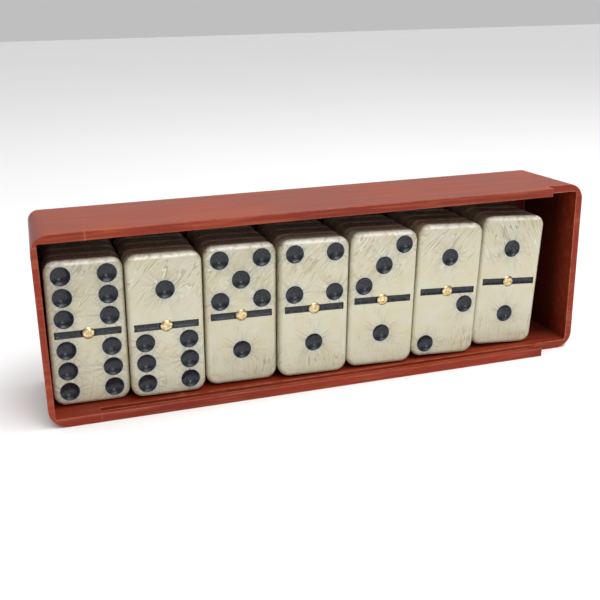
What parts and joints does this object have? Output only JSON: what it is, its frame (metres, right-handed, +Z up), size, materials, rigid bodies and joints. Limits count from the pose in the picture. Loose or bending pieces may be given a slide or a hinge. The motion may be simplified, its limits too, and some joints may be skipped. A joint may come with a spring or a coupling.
{
  "type": "boxed domino set",
  "caption": "Open moulded tray case standing on its long side, packed with cream tiles that have recessed black pips, a centre bar and a brass spinner each.",
  "frame": {"origin": "centre of the case's underside, on the surface it stands on", "axes": "+X along the case towards the end the lid goes in, +Y from the open face to the back wall, +Z up"},
  "size_m": [0.1959, 0.0418, 0.064],
  "materials": {
    "case_plastic": "brick-red moulded plastic, satin, with fine scuffs and worn edges",
    "ivory_resin": "polished cream resin under crinkled clear film",
    "spinner_brass": "polished, slightly dulled",
    "enamel_black": "glossy black enamel in the recesses"
  },
  "bodies": {
    "case": {"case": "case_plastic"},
    "tile_3_5": {"tile_3_5": "ivory_resin", "tile_3_5_spinner": "spinner_brass"},
    "tile_2_2": {"tile_2_2": "ivory_resin", "tile_2_2_spinner": "spinner_brass"},
    "tile_0_0": {"tile_0_0": "ivory_resin", "tile_0_0_spinner": "spinner_brass"},
    "tile_6_6": {"tile_6_6": "ivory_resin", "tile_6_6_spinner": "spinner_brass"},
    "tile_3_6": {"tile_3_6": "ivory_resin", "tile_3_6_spinner": "spinner_brass"},
    "tile_2_3": {"tile_2_3": "ivory_resin", "tile_2_3_spinner": "spinner_brass"},
    "tile_0_1": {"tile_0_1": "ivory_resin", "tile_0_1_spinner": "spinner_brass"},
    "tile_1_6": {"tile_1_6": "ivory_resin", "tile_1_6_spinner": "spinner_brass"},
    "tile_4_4": {"tile_4_4": "ivory_resin", "tile_4_4_spinner": "spinner_brass"},
    "tile_2_4": {"tile_2_4": "ivory_resin", "tile_2_4_spinner": "spinner_brass"},
    "tile_0_2": {"tile_0_2": "ivory_resin", "tile_0_2_spinner": "spinner_brass"},
    "tile_5_1": {"tile_5_1": "ivory_resin", "tile_5_1_spinner": "spinner_brass"},
    "tile_4_5": {"tile_4_5": "ivory_resin", "tile_4_5_spinner": "spinner_brass"},
    "tile_2_5": {"tile_2_5": "ivory_resin", "tile_2_5_spinner": "spinner_brass"},
    "tile_0_3": {"tile_0_3": "ivory_resin", "tile_0_3_spinner": "spinner_brass"},
    "tile_4_1": {"tile_4_1": "ivory_resin", "tile_4_1_spinner": "spinner_brass"},
    "tile_4_6": {"tile_4_6": "ivory_resin", "tile_4_6_spinner": "spinner_brass"},
    "tile_2_6": {"tile_2_6": "ivory_resin", "tile_2_6_spinner": "spinner_brass"},
    "tile_0_4": {"tile_0_4": "ivory_resin", "tile_0_4_spinner": "spinner_brass"},
    "tile_3_1": {"tile_3_1": "ivory_resin", "tile_3_1_spinner": "spinner_brass"},
    "tile_5_5": {"tile_5_5": "ivory_resin", "tile_5_5_spinner": "spinner_brass"},
    "tile_3_3": {"tile_3_3": "ivory_resin", "tile_3_3_spinner": "spinner_brass"},
    "tile_0_5": {"tile_0_5": "ivory_resin", "tile_0_5_spinner": "spinner_brass"},
    "tile_1_2": {"tile_1_2": "ivory_resin", "tile_1_2_spinner": "spinner_brass"},
    "tile_5_6": {"tile_5_6": "ivory_resin", "tile_5_6_spinner": "spinner_brass"},
    "tile_3_4": {"tile_3_4": "ivory_resin", "tile_3_4_spinner": "spinner_brass"},
    "tile_0_6": {"tile_0_6": "ivory_resin", "tile_0_6_spinner": "spinner_brass"},
    "tile_1_1": {"tile_1_1": "ivory_resin", "tile_1_1_spinner": "spinner_brass"}
  },
  "joints": [
    {"name": "slide_3_5", "type": "slide", "parent": "case", "child": "tile_3_5", "axis": [0, -1, 0], "range_m": [0, 0.042]},
    {"name": "slide_2_2", "type": "slide", "parent": "tile_3_5", "child": "tile_2_2", "axis": [0, -1, 0], "range_m": [0, 0.035]},
    {"name": "slide_0_0", "type": "slide", "parent": "tile_2_2", "child": "tile_0_0", "axis": [0, -1, 0], "range_m": [0, 0.027]},
    {"name": "slide_6_6", "type": "slide", "parent": "tile_0_0", "child": "tile_6_6", "axis": [0, -1, 0], "range_m": [0, 0.019]},
    {"name": "slide_3_6", "type": "slide", "parent": "case", "child": "tile_3_6", "axis": [0, -1, 0], "range_m": [0, 0.04]},
    {"name": "slide_2_3", "type": "slide", "parent": "tile_3_6", "child": "tile_2_3", "axis": [0, -1, 0], "range_m": [0, 0.032]},
    {"name": "slide_0_1", "type": "slide", "parent": "tile_2_3", "child": "tile_0_1", "axis": [0, -1, 0], "range_m": [0, 0.025]},
    {"name": "slide_1_6", "type": "slide", "parent": "tile_0_1", "child": "tile_1_6", "axis": [0, -1, 0], "range_m": [0, 0.017]},
    {"name": "slide_4_4", "type": "slide", "parent": "case", "child": "tile_4_4", "axis": [0, -1, 0], "range_m": [0, 0.041]},
    {"name": "slide_2_4", "type": "slide", "parent": "tile_4_4", "child": "tile_2_4", "axis": [0, -1, 0], "range_m": [0, 0.034]},
    {"name": "slide_0_2", "type": "slide", "parent": "tile_2_4", "child": "tile_0_2", "axis": [0, -1, 0], "range_m": [0, 0.026]},
    {"name": "slide_5_1", "type": "slide", "parent": "tile_0_2", "child": "tile_5_1", "axis": [0, -1, 0], "range_m": [0, 0.018]},
    {"name": "slide_4_5", "type": "slide", "parent": "case", "child": "tile_4_5", "axis": [0, -1, 0], "range_m": [0, 0.039]},
    {"name": "slide_2_5", "type": "slide", "parent": "tile_4_5", "child": "tile_2_5", "axis": [0, -1, 0], "range_m": [0, 0.032]},
    {"name": "slide_0_3", "type": "slide", "parent": "tile_2_5", "child": "tile_0_3", "axis": [0, -1, 0], "range_m": [0, 0.024]},
    {"name": "slide_4_1", "type": "slide", "parent": "tile_0_3", "child": "tile_4_1", "axis": [0, -1, 0], "range_m": [0, 0.016]},
    {"name": "slide_4_6", "type": "slide", "parent": "case", "child": "tile_4_6", "axis": [0, -1, 0], "range_m": [0, 0.039]},
    {"name": "slide_2_6", "type": "slide", "parent": "tile_4_6", "child": "tile_2_6", "axis": [0, -1, 0], "range_m": [0, 0.032]},
    {"name": "slide_0_4", "type": "slide", "parent": "tile_2_6", "child": "tile_0_4", "axis": [0, -1, 0], "range_m": [0, 0.024]},
    {"name": "slide_3_1", "type": "slide", "parent": "tile_0_4", "child": "tile_3_1", "axis": [0, -1, 0], "range_m": [0, 0.016]},
    {"name": "slide_5_5", "type": "slide", "parent": "case", "child": "tile_5_5", "axis": [0, -1, 0], "range_m": [0, 0.04]},
    {"name": "slide_3_3", "type": "slide", "parent": "tile_5_5", "child": "tile_3_3", "axis": [0, -1, 0], "range_m": [0, 0.032]},
    {"name": "slide_0_5", "type": "slide", "parent": "tile_3_3", "child": "tile_0_5", "axis": [0, -1, 0], "range_m": [0, 0.024]},
    {"name": "slide_1_2", "type": "slide", "parent": "tile_0_5", "child": "tile_1_2", "axis": [0, -1, 0], "range_m": [0, 0.017]},
    {"name": "slide_5_6", "type": "slide", "parent": "case", "child": "tile_5_6", "axis": [0, -1, 0], "range_m": [0, 0.042]},
    {"name": "slide_3_4", "type": "slide", "parent": "tile_5_6", "child": "tile_3_4", "axis": [0, -1, 0], "range_m": [0, 0.034]},
    {"name": "slide_0_6", "type": "slide", "parent": "tile_3_4", "child": "tile_0_6", "axis": [0, -1, 0], "range_m": [0, 0.026]},
    {"name": "slide_1_1", "type": "slide", "parent": "tile_0_6", "child": "tile_1_1", "axis": [0, -1, 0], "range_m": [0, 0.019]}
  ]
}
